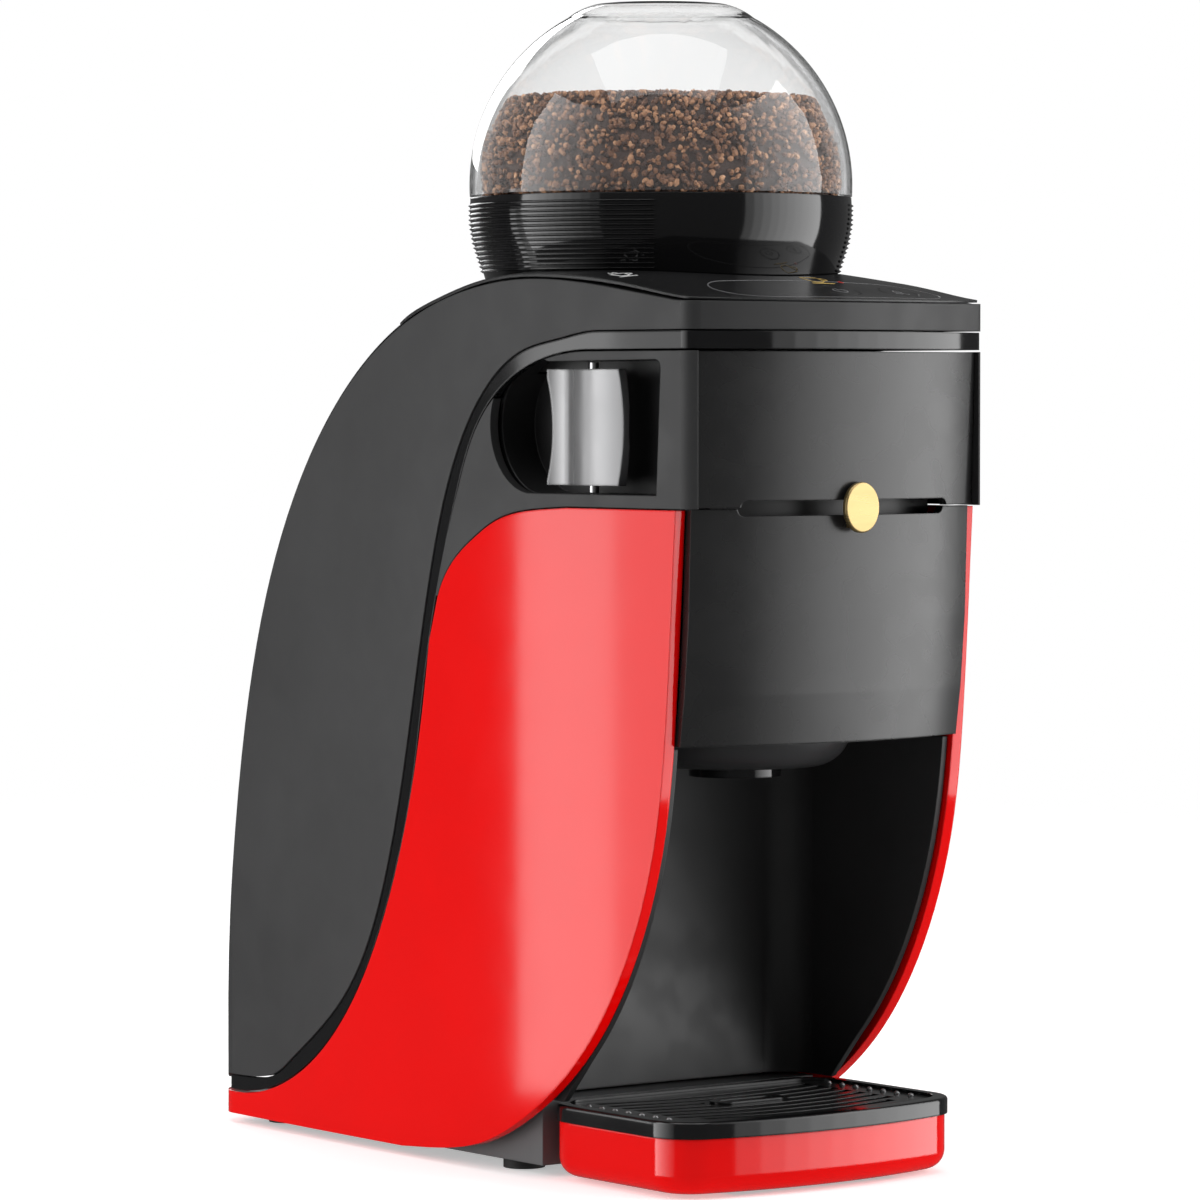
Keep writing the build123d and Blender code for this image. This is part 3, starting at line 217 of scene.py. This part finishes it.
LOOKS = {
    "grey_shell": plastic("matte_grey_shell", (0.027, 0.027, 0.0275), 0.48, 0.05, 0.08, 1500, 9e-6,
                          level=0.3),
    "front_grey": plastic("satin_front_grey", (0.011, 0.011, 0.0112), 0.27, 0.02, 0.06, 1500, 5e-6),
    "base_grey": plastic("base_grey", (0.07, 0.07, 0.072), 0.5, 0.05, 0.1, 1200, 9e-6),
    "deck_black": plastic("deck_black", (0.012, 0.012, 0.0125), 0.24, 0.02, 0.06, 1400, 2e-6, 0.0008),
    "gloss_black": plastic("gloss_black", (0.0045, 0.0045, 0.0048), 0.07, 0.015, 0.05, 260, 1e-6, 0.0007),
    "matte_black": plastic("matte_black", (0.010, 0.010, 0.0105), 0.45, 0.05, 0.12, 1300, 9e-6),
    "bay_black": plastic("bay_black", (0.019, 0.019, 0.0195), 0.42, 0.04, 0.08, 1300, 6e-6),
    "cover_black": plastic("bowl_black", (0.022, 0.022, 0.023), 0.4, 0.04, 0.08, 1300, 6e-6),
    "grille_black": plastic("grille_black", (0.012, 0.012, 0.0122), 0.2, 0.03, 0.1, 800, 4e-6, 0.0004),
    "red_shell": plastic("gloss_red", (0.62, 0.0008, 0.0008), 0.07, 0.006, 0.02, 260, 1e-6, 0.0008),
    "silver": plastic("satin_silver", (0.20, 0.20, 0.203), 0.24, 0.03, 0.03, 900, 3e-6, 0.0009,
                      metallic=0.6),
    "gold": plastic("brushed_gold", (0.42, 0.31, 0.14), 0.3, 0.03, 0.04, 700, 4e-6, 0.0004,
                    metallic=0.9, stretch=(1, 1, 9)),
    "steel": plastic("steel", (0.56, 0.56, 0.57), 0.27, 0.05, 0.05, 700, 4e-6, 0.0003, metallic=1.0,
                     stretch=(1, 6, 1)),
    "aluminium": plastic("cast_aluminium", (0.48, 0.48, 0.49), 0.42, 0.06, 0.07, 500, 2e-5, 0.0005,
                         metallic=1.0),
    "rubber": plastic("rubber", (0.014, 0.014, 0.014), 0.7, 0.05, 0.15, 1100, 2e-5, 0.0004, level=0.3),
    "white_plastic": plastic("white_plastic", (0.62, 0.62, 0.6), 0.38, 0.04, 0.04, 1100, 5e-6),
    "board": plastic("board_green", (0.012, 0.09, 0.035), 0.4, 0.06, 0.25, 400, 1e-5, 0.0002),
    "smoke": see_through("smoked_tank", (0.26, 0.265, 0.27), 0.05, 1.46, 1e-5),
    # the clear dome gets a grey rim of painted shade at grazing angles
    "clear": see_through("clear_dome", (0.985, 0.987, 0.987), 0.0, 1.46, painted_rim_shade=(0.13, 0.13, 0.13)),
    "clear_hose": see_through("clear_hose", (0.82, 0.85, 0.86), 0.12, 1.4, 2e-5),
    "white_print": plastic("white_print", (0.66, 0.66, 0.66), 0.4, 0.03, 0.05, 1500, 3e-6, 0),
    "grey_print": plastic("grey_print", (0.17, 0.17, 0.175), 0.4, 0.03, 0.05, 1500, 3e-6, 0),
    "gold_print": plastic("gold_print", (0.72, 0.49, 0.13), 0.35, 0.03, 0.06, 1500, 3e-6, 0, metallic=0.4),
    "red_print": plastic("red_print", (0.75, 0.02, 0.015), 0.3, 0.03, 0.05, 1500, 3e-6, 0),
    "coffee": coffee_material("coffee_granules", [
        (0.0, (0.022, 0.008, 0.0045)), (0.3, (0.075, 0.030, 0.014)), (0.55, (0.17, 0.074, 0.035)),
        (0.8, (0.34, 0.17, 0.084)), (1.0, (0.55, 0.31, 0.17))]),
    # the core under the grains: coffee darkened as painted shade between the crumbs
    "coffee_bed_painted_shade": coffee_material("coffee_bed_painted_shade", [
        (0.0, (0.008, 0.003, 0.002)), (0.5, (0.03, 0.011, 0.006)), (1.0, (0.08, 0.032, 0.016))]),
}

slot_of = {part["node"]: part["material_slot"] for part in frame["record"]["subparts"]}
OWN_LOOK = {"deck": "deck_black", "mixing_bowl": "cover_black", "bay_ceiling": "matte_black",
            "power_key": "deck_black", "rinse_key": "deck_black"}
for name, node in nodes.items():
    look = LOOKS[OWN_LOOK.get(name, slot_of[name])]
    for place in node.material_slots:
        place.material = look


# ---------------------------------------------------------------- mesh pieces
def surface_tree(*names):
    """The surfaces of these CAD nodes together, for laying things on."""
    corners, faces = [], []
    for name in names:
        node = nodes[name]
        start = len(corners)
        corners += [node.matrix_world @ v.co for v in node.data.vertices]
        faces += [[start + i for i in face.vertices] for face in node.data.polygons]
    return BVHTree.FromPolygons(corners, faces)


def make_piece(name, form, look, body, smooth=True, more_looks=()):
    """Turn the bmesh form into a named piece that rides on body."""
    mesh = bpy.data.meshes.new(name)
    form.to_mesh(mesh)
    form.free()
    piece = bpy.data.objects.new(name, mesh)
    bpy.context.collection.objects.link(piece)
    mesh.materials.append(LOOKS[look])
    for other in more_looks:
        mesh.materials.append(LOOKS[other])
    for face in mesh.polygons:
        face.use_smooth = smooth
    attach(piece, body)
    return piece


PRINT_SINK = 0.04 * MM
PRINT_RISE = 0.05 * MM
OVER_DECK = 0.299           # rays down to the deck start at this height


def on_top(tree, x, y):
    """Height of the surface under a point."""
    hit = tree.ray_cast(Vector((x, y, OVER_DECK)), Vector((0, 0, -1)))[0]
    return hit.z if hit else None


def print_line(form, tree, points, width, closed=False):
    """A thin printed line that follows the surface; points and width in metres."""
    points = [Vector(p) for p in points]
    count = len(points)
    rings = []
    for i, point in enumerate(points):
        before = points[i - 1] if closed or i else point
        after = points[(i + 1) % count] if closed or i < count - 1 else point
        along = (after - before).normalized()
        across = Vector((-along.y, along.x)) * width / 2
        ring = []
        for side, lift in ((-1, -PRINT_SINK), (1, -PRINT_SINK), (1, PRINT_RISE), (-1, PRINT_RISE)):
            x, y = point + across * side
            ring.append(form.verts.new((x, y, on_top(tree, x, y) + lift)))
        rings.append(ring)
    for i in range(count if closed else count - 1):
        a, b = rings[i], rings[(i + 1) % count]
        for k in range(4):
            form.faces.new((a[k], b[k], b[(k + 1) % 4], a[(k + 1) % 4]))
    if not closed:
        form.faces.new(rings[0])
        form.faces.new(rings[-1][::-1])
    bmesh.ops.recalc_face_normals(form, faces=form.faces)


def print_spot(form, tree, centre, radius, count=20):
    """A filled round printed spot."""
    top, low = [], []
    for i in range(count):
        turn = math.tau * i / count
        x, y = centre[0] + radius * math.cos(turn), centre[1] + radius * math.sin(turn)
        z = on_top(tree, x, y)
        top.append(form.verts.new((x, y, z + PRINT_RISE)))
        low.append(form.verts.new((x, y, z - PRINT_SINK)))
    form.faces.new(top)
    form.faces.new(low[::-1])
    for i in range(count):
        j = (i + 1) % count
        form.faces.new((low[i], low[j], top[j], top[i]))


def arc(centre, radius, start, end, count=20):
    """Points on an arc, angles in degrees anticlockwise from +X."""
    return [(centre[0] + radius * math.cos(math.radians(start + (end - start) * i / count)),
             centre[1] + radius * math.sin(math.radians(start + (end - start) * i / count)))
            for i in range(count + 1)]


def straight(a, b, count=6):
    return [(a[0] + (b[0] - a[0]) * i / count, a[1] + (b[1] - a[1]) * i / count) for i in range(count + 1)]


def shifted(points, centre, scale=MM):
    return [(centre[0] + p[0] * scale, centre[1] + p[1] * scale) for p in points]


def middle(node):
    low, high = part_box(node)
    return ((low[0] + high[0]) / 2, (low[1] + high[1]) / 2)


deck_surface = surface_tree("deck", "power_key", "rinse_key")

# the pill-shaped line round the two keys
form = bmesh.new()
PILL_X = (-0.0365, 0.0475)
PILL_Y = (-0.1185, -0.0945)
pill_radius = (PILL_Y[1] - PILL_Y[0]) / 2
pill_mid = (PILL_Y[0] + PILL_Y[1]) / 2
left_end = (PILL_X[0] + pill_radius, pill_mid)
right_end = (PILL_X[1] - pill_radius, pill_mid)
outline = arc(right_end, pill_radius, -90, 90, 30)
outline += straight((right_end[0], PILL_Y[1]), (left_end[0], PILL_Y[1]), 24)[1:-1]
outline += arc(left_end, pill_radius, 90, 270, 30)
outline += straight((left_end[0], PILL_Y[0]), (right_end[0], PILL_Y[0]), 24)[1:-1]
print_line(form, deck_surface, outline, 0.28 * MM, closed=True)
make_piece("key_panel_line", form, "grey_print", "machine")

# the power sign on the first key
POWER_LINE = 0.42 * MM
form = bmesh.new()
centre = middle("power_key")
print_line(form, deck_surface, arc(centre, 2.3 * MM, 125, 415, 30), POWER_LINE)
stroke = straight((centre[0], centre[1] + 0.5 * MM), (centre[0], centre[1] + 2.9 * MM))
print_line(form, deck_surface, stroke, POWER_LINE)
make_piece("power_sign", form, "grey_print", "power_button")

# a drop over a wave on the second key
RINSE_LINE = 0.38 * MM
form = bmesh.new()
centre = middle("rinse_key")
drop = shifted([(0, 2.9), (0.55, 1.9), (1.1, 0.95), (1.2, 0.1), (0.85, -0.6), (0, -0.95), (-0.85, -0.6),
                (-1.2, 0.1), (-1.1, 0.95), (-0.55, 1.9)], centre)
print_line(form, deck_surface, drop, RINSE_LINE, closed=True)
wave = [(-2.6 + 0.26 * i, -2.1 + 0.45 * math.sin(i * 0.63)) for i in range(21)]
print_line(form, deck_surface, shifted(wave, centre), RINSE_LINE)
make_piece("rinse_sign", form, "grey_print", "rinse_button")


def cup_sign(form, centre, size, width):
    """An outlined cup with a handle and a saucer line, about 10 units across at size 1."""
    cup = [(-3.6, 3.2), (-3.4, 0.6), (-2.8, -1.6), (-1.6, -2.6),
           (0.6, -2.6), (1.8, -1.6), (2.4, 0.6), (2.6, 3.2)]
    print_line(form, deck_surface, shifted(cup, centre, size * MM), width, closed=True)
    handle = [(2.5, 2.3), (3.9, 2.2), (4.7, 1.2), (4.2, 0.0), (2.3, -0.6)]
    print_line(form, deck_surface, shifted(handle, centre, size * MM), width)
    saucer = straight((-4.6, -4.1), (3.8, -4.1))
    print_line(form, deck_surface, shifted(saucer, centre, size * MM), width)


CUP_LINE = 0.62 * MM
form = bmesh.new()
GOLD_SIGN = (0.0130, -0.0928)
cup_sign(form, GOLD_SIGN, 1.05, CUP_LINE)
make_piece("gold_cup_sign", form, "gold_print", "machine")

RED_SPOT = (0.0215, -0.0945)
RED_SPOT_R = 0.95 * MM
form = bmesh.new()
print_spot(form, deck_surface, RED_SPOT, RED_SPOT_R)
make_piece("red_spot", form, "red_print", "machine", smooth=False)

form = bmesh.new()
WHITE_SIGN = (-0.0485, -0.0765)
WHITE_SIZE = 0.8
STEAM_LINE = 0.5 * MM
cup_sign(form, WHITE_SIGN, WHITE_SIZE, CUP_LINE)
for start in (-1.5, 0.6):
    steam = [(start + 0.35 * math.sin(i * 0.9), 4.6 + i * 0.35) for i in range(8)]
    print_line(form, deck_surface, shifted(steam, WHITE_SIGN, WHITE_SIZE * MM), STEAM_LINE)
make_piece("white_cup_sign", form, "white_print", "machine")

# ---------------------------------------------------------------- coffee granules
random.seed(7)
coffee_surface = surface_tree("granules")
coffee_low, coffee_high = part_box("granules")
HOPPER = Vector(((coffee_low[0] + coffee_high[0]) / 2, (coffee_low[1] + coffee_high[1]) / 2, 0))
COFFEE_RADIUS = (coffee_high[0] - coffee_low[0]) / 2
RAY_OUT = 0.08              # rays to the heap start this far from its axis
RAY_UP = 0.02               # and this far over its top


def side_hit(turn, z):
    """Point and normal on the side of the heap."""
    outward = Vector((math.cos(turn), math.sin(turn), 0))
    start = HOPPER + outward * RAY_OUT + Vector((0, 0, z))
    hit = coffee_surface.ray_cast(start, -outward)
    return (hit[0], hit[1]) if hit[0] else (None, None)


def top_hit(x, y):
    """Point and normal on the top of the heap."""
    hit = coffee_surface.ray_cast(Vector((x, y, coffee_high[2] + RAY_UP)), Vector((0, 0, -1)))
    return (hit[0], hit[1]) if hit[0] else (None, None)


form = bmesh.new()
# a lumpy core under the grains, in a darker brown that is painted shade between the crumbs
RING = 96
SIDE_STEPS = 12
CORE_MARGIN = 0.8 * MM
CORE_DEPTH = 1.2 * MM
CORE_SINK = 0.2 * MM
CORE_TOP_SINK = 0.6 * MM
LUMP = 0.4 * MM
core_rings = []
core_span = coffee_high[2] - coffee_low[2] - 2 * CORE_MARGIN
core_foot = coffee_low[2] + CORE_MARGIN
profile = [("side", core_foot + core_span * i / SIDE_STEPS) for i in range(SIDE_STEPS + 1)]
profile += [("top", COFFEE_RADIUS * (0.93 - 0.11 * i)) for i in range(9)]
for kind, value in profile:
    ring = []
    for k in range(RING):
        turn = math.tau * k / RING
        if kind == "side":
            spot, facing = side_hit(turn, value)
        else:
            spot, facing = top_hit(HOPPER.x + value * math.cos(turn), HOPPER.y + value * math.sin(turn))
        lump = noise.noise(spot * 400) * LUMP
        inward = (HOPPER - Vector((spot.x, spot.y, 0))).normalized() * CORE_DEPTH
        drop = Vector((0, 0, CORE_TOP_SINK if kind == "top" else 0))
        ring.append(form.verts.new(spot + inward + facing * (lump - CORE_SINK) - drop))
    core_rings.append(ring)
for a, b in zip(core_rings, core_rings[1:]):
    for k in range(RING):
        form.faces.new((a[k], a[(k + 1) % RING], b[(k + 1) % RING], b[k]))
form.faces.new(core_rings[-1])
form.faces.new(core_rings[0][::-1])
# the core takes the darker coffee colour, painted shade between the crumbs
for face in form.faces:
    face.material_index = 1

SEED_SHAPE = bmesh.new()
bmesh.ops.create_icosphere(SEED_SHAPE, subdivisions=1, radius=1.0)
SEED_POINTS = [v.co.copy() for v in SEED_SHAPE.verts]
SEED_FACES = [[v.index for v in face.verts] for face in SEED_SHAPE.faces]
SEED_SHAPE.free()


GRAIN_OVER = 0.2 * MM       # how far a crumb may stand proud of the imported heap
GRAIN_LIFT = 0.1 * MM


def add_grain(form, spot, size):
    """One crumb: a dented, stretched lump turned at random."""
    stretch = Vector((random.uniform(0.75, 1.3), random.uniform(0.65, 1.1), random.uniform(0.6, 1.0)))
    a, b, c = (random.uniform(0, math.tau) for _ in range(3))
    ca, sa, cb, sb, cc, sc = math.cos(a), math.sin(a), math.cos(b), math.sin(b), math.cos(c), math.sin(c)
    corners = []
    for point in SEED_POINTS:
        x, y, z = (point * random.uniform(0.72, 1.15)) * stretch * size
        x, y = x * ca - y * sa, x * sa + y * ca
        y, z = y * cb - z * sb, y * sb + z * cb
        x, z = x * cc + z * sc, -x * sc + z * cc
        place = spot + Vector((x, y, z))
        flat = Vector((place.x, place.y, 0)) - HOPPER
        if flat.length > COFFEE_RADIUS + GRAIN_OVER:
            flat = flat.normalized() * (COFFEE_RADIUS + GRAIN_OVER)
            place = Vector((HOPPER.x + flat.x, HOPPER.y + flat.y, place.z))
        place.z = max(place.z, coffee_low[2] + GRAIN_LIFT)
        corners.append(form.verts.new(place))
    for face in SEED_FACES:
        form.faces.new([corners[i] for i in face])


SIDE_GRAINS = 9000
TOP_GRAINS = 4000
SIDE_SIZE = (0.0007, 0.0014, 0.0009)    # smallest, largest and usual radius of a crumb
TOP_SIZE = (0.0006, 0.0013, 0.0009)
GRAIN_DEPTH = (0.3 * MM, 1.0 * MM)      # how deep in the heap its middle lies
GRAIN_MARGIN = 0.0003
RIM_MARGIN = 0.0008
for _ in range(SIDE_GRAINS):
    turn = random.uniform(0, math.tau)
    height = random.uniform(coffee_low[2] + GRAIN_MARGIN, coffee_high[2] - GRAIN_MARGIN)
    spot, facing = side_hit(turn, height)
    size = random.triangular(*SIDE_SIZE)
    if spot:
        add_grain(form, spot - facing * random.uniform(*GRAIN_DEPTH), size)
coffee = make_piece("coffee_grains", form, "coffee", "hopper", smooth=False,
                    more_looks=("coffee_bed_painted_shade",))
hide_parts("granules")

form = bmesh.new()
for _ in range(TOP_GRAINS):
    radius = (COFFEE_RADIUS - RIM_MARGIN) * math.sqrt(random.random())
    turn = random.uniform(0, math.tau)
    spot, facing = top_hit(HOPPER.x + radius * math.cos(turn), HOPPER.y + radius * math.sin(turn))
    size = random.triangular(*TOP_SIZE)
    if spot:
        add_grain(form, spot - facing * GRAIN_DEPTH[0], size)
make_piece("coffee_top_grains", form, "coffee", "hopper", smooth=False)

# ---------------------------------------------------------------- stage
FLOOR_GAP = 0.2 * MM
floor_z = cad_bounds[0][2] - FLOOR_GAP
FLOOR_REACH = (0.15, 0.3, 0.6, 1.0, 1.5, 2.2)
FLOOR_SIDES = 64
form = bmesh.new()
hub = form.verts.new((0, 0, floor_z))
rings = []
for reach in FLOOR_REACH:
    turns = [math.tau * k / FLOOR_SIDES for k in range(FLOOR_SIDES)]
    rings.append([form.verts.new((reach * math.cos(t), reach * math.sin(t), floor_z)) for t in turns])
for k in range(FLOOR_SIDES):
    form.faces.new((hub, rings[0][k], rings[0][(k + 1) % FLOOR_SIDES]))
for a, b in zip(rings, rings[1:]):
    for k in range(FLOOR_SIDES):
        form.faces.new((a[k], b[k], b[(k + 1) % FLOOR_SIDES], a[(k + 1) % FLOOR_SIDES]))
floor_mesh = bpy.data.meshes.new("pale_floor")
form.to_mesh(floor_mesh)
form.free()
floor = bpy.data.objects.new("pale_floor", floor_mesh)
bpy.context.collection.objects.link(floor)
material, tree, shader, coords = shader_parts("pale_floor")
shader.inputs["Base Color"].default_value = (0.9, 0.9, 0.9, 1)
shader.inputs["Roughness"].default_value = 0.9
shader.inputs["Specular IOR Level"].default_value = 0.1
shader.inputs["Emission Color"].default_value = (1, 1, 1, 1)
shader.inputs["Emission Strength"].default_value = 0.4
reach = tree.nodes.new("ShaderNodeVectorMath")
reach.operation = "LENGTH"
tree.links.new(coords, reach.inputs[0])
fade = tree.nodes.new("ShaderNodeMapRange")
fade.interpolation_type = "SMOOTHSTEP"
fade.inputs["From Min"].default_value = 0.3
fade.inputs["From Max"].default_value = 1.6
fade.inputs["To Min"].default_value = 1.0
fade.inputs["To Max"].default_value = 0.0
tree.links.new(reach.outputs["Value"], fade.inputs["Value"])
tree.links.new(fade.outputs["Result"], shader.inputs["Alpha"])
floor_mesh.materials.append(material)
floor.visible_glossy = False
floor.visible_shadow = False

# a white world behind the object and its clear parts, and a faint one for its light
world = bpy.data.worlds.new("soft_white")
bpy.context.scene.world = world
world.use_nodes = True
tree = world.node_tree
lit = tree.nodes["Background"]
lit.inputs["Color"].default_value = (1, 1, 1, 1)
lit.inputs["Strength"].default_value = 0.12
seen = tree.nodes.new("ShaderNodeBackground")
seen.inputs["Color"].default_value = (1, 1, 1, 1)
seen.inputs["Strength"].default_value = 1.0
path = tree.nodes.new("ShaderNodeLightPath")
mix = tree.nodes.new("ShaderNodeMixShader")
in_sight = tree.nodes.new("ShaderNodeMath")
in_sight.operation = "MAXIMUM"
tree.links.new(path.outputs["Is Camera Ray"], in_sight.inputs[0])
tree.links.new(path.outputs["Is Transmission Ray"], in_sight.inputs[1])
tree.links.new(in_sight.outputs[0], mix.inputs[0])
tree.links.new(lit.outputs[0], mix.inputs[1])
tree.links.new(seen.outputs[0], mix.inputs[2])
tree.links.new(mix.outputs[0], tree.nodes["World Output"].inputs["Surface"])


def soft_box(name, place, target, width, height, power):
    """A rectangular lamp that faces its target and isn't seen itself."""
    data = bpy.data.lights.new(name, "AREA")
    data.shape = "RECTANGLE"
    data.size = width
    data.size_y = height
    data.energy = power
    lamp = bpy.data.objects.new(name, data)
    bpy.context.collection.objects.link(lamp)
    lamp.location = place
    lamp.visible_transmission = False
    lamp.visible_camera = False
    lamp.rotation_euler = (Vector(target) - Vector(place)).to_track_quat("-Z", "Y").to_euler()
    return lamp


def wall_of_light(name, start, end, glow, reach=1.6, low=-0.40, high=1.72):
    """An upright soft box between two bearings, in degrees from -X towards +Y, with its brightness."""
    bearing = math.radians((start + end) / 2)
    place = (-reach * math.cos(bearing), reach * math.sin(bearing) - 0.05, (low + high) / 2)
    width = 2 * reach * math.tan(math.radians(abs(end - start)) / 2)
    height = high - low
    return soft_box(name, place, (0, -0.05, place[2]), width, height, glow * math.pi * width * height)


# a tall box behind the left shoulder: its far edge shows as the bright band on the red shell
soft_box("band_box", (-0.454, 0.413, 0.1225), (-0.060, -0.045, 0.1225), 0.060, 0.345, 0.19)
soft_box("band_glow", (-0.506, 0.372, 0.1225), (-0.060, -0.045, 0.1225), 0.072, 0.345, 0.12)
# the bright walls to the left and right, strongest at their outer ends
WALL_STEP = 6.0
LEFT_STEPS = 9
RIGHT_STEPS = 10
for step in range(LEFT_STEPS):
    start = 39 - WALL_STEP * step
    glow = 4.6 * (1 - step / LEFT_STEPS) ** 1.3 + 0.2
    wall_of_light(f"left_wall_{step}", start, start - WALL_STEP, glow)
for step in range(RIGHT_STEPS):
    start = -163 + WALL_STEP * step
    glow = 4.1 * (1 - (step / RIGHT_STEPS) ** 2) + 0.15
    wall_of_light(f"right_wall_{step}", start, start + WALL_STEP, glow)
soft_box("top_box", (-0.25, -0.35, 2.0), (0, 0, 0.25), 1.9, 1.5, 20)
soft_box("back_box", (0.5, 1.9, 0.9), (0, 0, 0.2), 1.0, 0.9, 14)

camera_data = bpy.data.cameras.new("photo_camera")
camera_data.lens = 167.28
camera_data.sensor_width = 36
camera_data.clip_start = 0.05
camera = bpy.data.objects.new("photo_camera", camera_data)
bpy.context.collection.objects.link(camera)
camera.location = (-1.0727, -1.4030, 0.2394)
camera.rotation_euler = tuple(math.radians(a) for a in (87.881, 0, -37.437))
bpy.context.scene.camera = camera
bpy.context.scene.view_settings.view_transform = "Standard"
